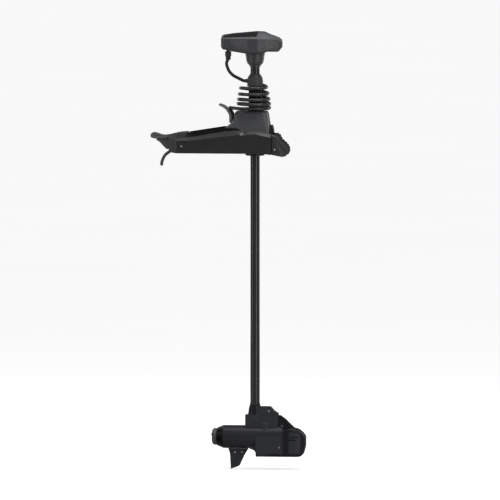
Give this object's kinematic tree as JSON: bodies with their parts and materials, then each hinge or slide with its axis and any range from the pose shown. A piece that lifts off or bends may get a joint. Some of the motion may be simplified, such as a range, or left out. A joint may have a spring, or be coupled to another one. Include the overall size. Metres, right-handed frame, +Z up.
{
  "type": "trolling motor",
  "caption": "Bow-mount electric trolling motor with a tilting steering tower, telescoping shaft, coiled power cord, control head and a geared-steer lower unit with a propeller.",
  "frame": {"origin": "middle of the mounting base's underside, on the boat's deck plane", "axes": "+Z up along the shaft, +X towards the bow end, +Y to port"},
  "size_m": [0.6455, 0.29, 1.8229],
  "materials": {
    "casing": "charcoal moulded plastic, fine grain",
    "end_casing": "lighter charcoal moulded plastic",
    "rubber": "black rubber",
    "cast_frame": "anodised black",
    "steel": "stainless steel",
    "shaft_black": "semi-gloss black composite",
    "gloss_panel": "gloss black",
    "drive_paint": "blue-black satin paint",
    "winding": "enamelled copper",
    "circuit_board": "green circuit board",
    "bronze": "sintered bronze"
  },
  "bodies": {
    "base": {"base_channel": "cast_frame", "side_cover_right": "casing", "side_cover_left": "casing", "rear_end_cap": "end_casing", "bow_arm_right": "end_casing", "bow_arm_left": "end_casing", "bow_pad_right": "rubber", "bow_pad_left": "rubber", "cover_screw_right": "steel", "cover_screw_left": "steel", "tilt_pin": "steel", "power_cable": "rubber", "cable_gland": "rubber", "pedal_pin": "steel", "pedal_spring": "steel"},
    "pedal": {"release_pedal": "casing"},
    "rod": {"latch_rod": "steel"},
    "latch": {"tilt_latch": "steel"},
    "tower": {"tower_housing": "casing", "tower_frame": "cast_frame", "lower_bush": "rubber", "upper_seal": "rubber", "pivot_bush_right": "bronze", "pivot_bush_left": "bronze", "steering_motor": "steel", "control_board": "circuit_board", "front_catch": "casing", "cord_gland": "rubber", "lever_pin": "steel", "coil_cord_lower": "rubber"},
    "lever": {"depth_lever": "casing"},
    "pinion": {"steering_pinion": "steel"},
    "sleeve": {"steering_sleeve": "shaft_black", "steering_gear": "steel"},
    "shaft": {"shaft_tube": "shaft_black", "shaft_wires": "winding", "collar_aft": "casing", "collar_fore": "casing", "coil_cord_upper": "rubber", "head_stem": "casing", "head_lower_shell": "casing", "head_upper_shell": "casing", "display_panel": "gloss_panel", "head_board": "circuit_board", "cable_plug": "rubber", "head_cable": "rubber", "lower_hub": "drive_paint", "motor_tube": "drive_paint", "rear_bell": "gloss_panel", "rear_bearing": "steel", "front_bearing": "steel", "stator": "winding", "nose_housing": "drive_paint", "transducer": "rubber", "cable_guard": "drive_paint", "skeg": "drive_paint"},
    "propeller": {"rotor": "steel", "drive_shaft": "steel", "propeller": "gloss_panel", "prop_nut": "steel"}
  },
  "joints": [
    {"name": "stow_tilt", "type": "hinge", "parent": "base", "child": "tower", "pos_m": [0.06, 0, 0.088], "axis": [0, -1, 0], "range_deg": [0, 90]},
    {"name": "steer", "type": "hinge", "parent": "tower", "child": "sleeve", "pos_m": [0.18, 0, 0], "axis": [0, 0, 1], "range_deg": [-180, 180], "deforming": ["coil_cord_lower"]},
    {"name": "pinion_spin", "type": "hinge", "parent": "tower", "child": "pinion", "pos_m": [0.1346, 0, 0.045], "axis": [0, 0, 1], "range_deg": [-720, 720]},
    {"name": "shaft_slide", "type": "slide", "parent": "sleeve", "child": "shaft", "axis": [0, 0, 1], "range_m": [0, 0.9], "deforming": ["coil_cord_upper"]},
    {"name": "prop_spin", "type": "hinge", "parent": "shaft", "child": "propeller", "pos_m": [0.01, 0, -1.182], "axis": [1, 0, 0], "continuous": true},
    {"name": "pedal_press", "type": "hinge", "parent": "base", "child": "pedal", "pos_m": [-0.163, 0, 0.034], "axis": [0, -1, 0], "range_deg": [0, 18], "stiffness_Nm_per_rad": 1.5, "springref_deg": -17.19},
    {"name": "rod_slide", "type": "slide", "parent": "base", "child": "rod", "axis": [1, 0, 0], "range_m": [0, 0.005]},
    {"name": "latch_turn", "type": "hinge", "parent": "base", "child": "latch", "pos_m": [0.096, 0, 0.02], "axis": [0, -1, 0], "range_deg": [0, 30.5]},
    {"name": "lever_pull", "type": "hinge", "parent": "tower", "child": "lever", "pos_m": [0.079, 0, 0.132], "axis": [0, -1, 0], "range_deg": [0, 20], "stiffness_Nm_per_rad": 1, "springref_deg": -17.19}
  ],
  "couplings": [
    {"joint": "pinion_spin", "follows": "steer", "ratio": -4},
    {"joint": "rod_slide", "follows": "pedal_press", "m_per_rad": 0.015},
    {"joint": "latch_turn", "follows": "pedal_press", "ratio": 1.6667}
  ]
}
